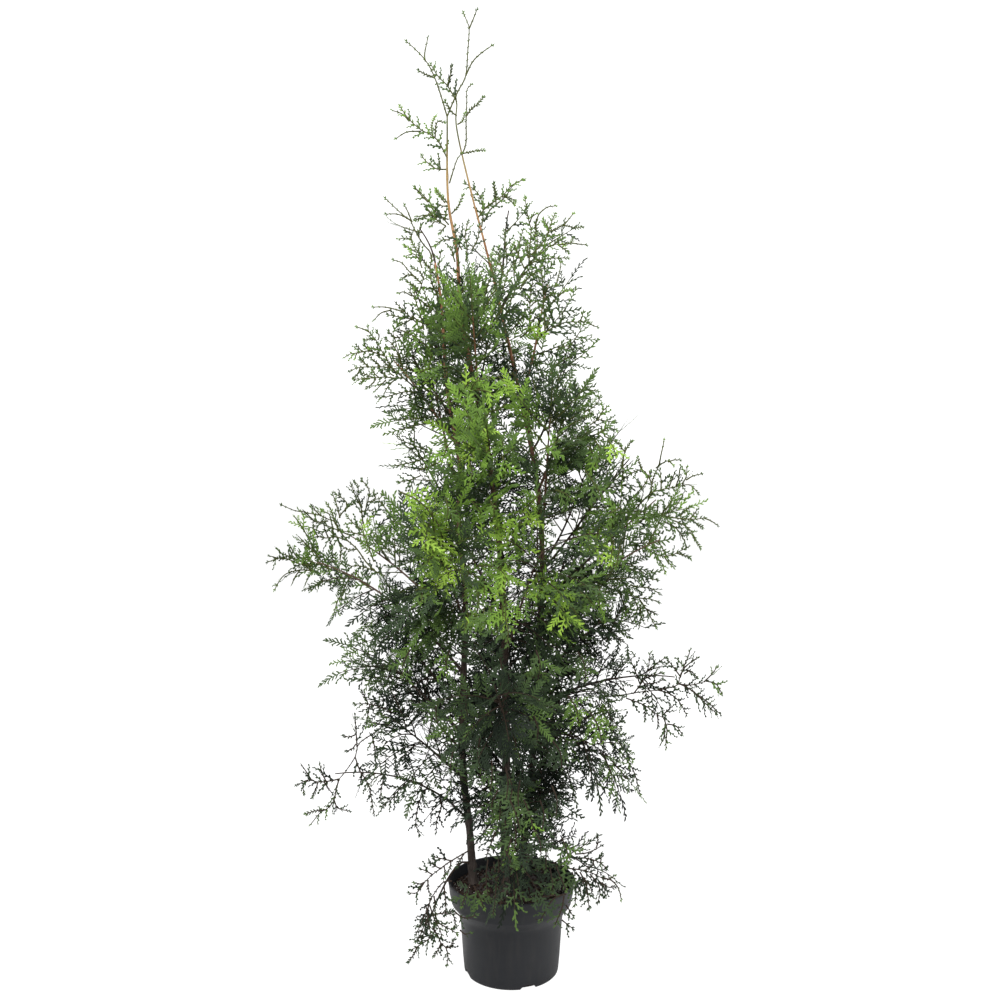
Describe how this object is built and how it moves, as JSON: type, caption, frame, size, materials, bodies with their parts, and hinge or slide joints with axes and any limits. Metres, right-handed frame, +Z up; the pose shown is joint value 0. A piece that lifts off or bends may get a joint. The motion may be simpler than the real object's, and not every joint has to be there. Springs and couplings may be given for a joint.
{
  "type": "potted arborvitae",
  "caption": "Tall, open arborvitae with slender leaning stems, rising boughs and loose masses of flat scale-leaf sprays, rooted in a round nursery pot of compost.",
  "frame": {"origin": "centre of the pot's flat underside", "axes": "+Z up, +X to the right and +Y away as the plant is seen from its front"},
  "size_m": [0.682, 0.5352, 1.42],
  "materials": {
    "pot": "charcoal moulded plastic, satin, faintly dusty",
    "compost": "damp dark brown compost with pale grains",
    "bark": "thin fibrous bark, red-brown, orange on young leaders",
    "foliage": "waxy scale leaves, yellow-green to dark green"
  },
  "bodies": {
    "root": {"pot": "pot", "soil": "compost", "stem_left": "bark", "stem_middle": "bark", "stem_right": "bark", "bough_upper_right_high": "bark", "bough_upper_front": "bark", "bough_upper_left": "bark", "bough_upper_right": "bark", "bough_upper_front_right": "bark", "bough_upper_back_left": "bark", "bough_front": "bark", "bough_shoulder_left_high": "bark", "bough_shoulder_left": "bark", "bough_shoulder_right_high": "bark", "bough_shoulder_right": "bark", "bough_middle_front_left": "bark", "bough_middle_front_right": "bark", "bough_middle_back_left": "bark", "bough_middle_back_right": "bark", "bough_lower_left": "bark", "bough_lower_left_low": "bark", "bough_long_right": "bark", "bough_lower_right": "bark", "bough_lower_front": "bark", "bough_lower_back": "bark", "foliage_upper_right_high": "foliage", "foliage_upper_front": "foliage", "foliage_upper_left": "foliage", "foliage_upper_right": "foliage", "foliage_upper_front_right": "foliage", "foliage_upper_back_left": "foliage", "foliage_front": "foliage", "foliage_shoulder_left_high": "foliage", "foliage_shoulder_left": "foliage", "foliage_shoulder_right_high": "foliage", "foliage_shoulder_right": "foliage", "foliage_middle_front_left": "foliage", "foliage_middle_front_right": "foliage", "foliage_middle_back_left": "foliage", "foliage_middle_back_right": "foliage", "foliage_lower_left": "foliage", "foliage_lower_left_low": "foliage", "foliage_long_right": "foliage", "foliage_lower_right": "foliage", "foliage_lower_front": "foliage", "foliage_lower_back": "foliage", "foliage_leader_left": "foliage", "foliage_leader_right": "foliage", "foliage_sprig_left": "foliage", "foliage_sprig_right": "foliage", "foliage_stem_left_top": "foliage", "foliage_upper_back": "foliage", "foliage_right_high": "foliage", "foliage_long_left_low": "foliage", "foliage_lower_right_low": "foliage", "foliage_base_front": "foliage", "foliage_base_back": "foliage", "foliage_pot_left": "foliage", "foliage_pot_right": "foliage"}
  },
  "joints": []
}
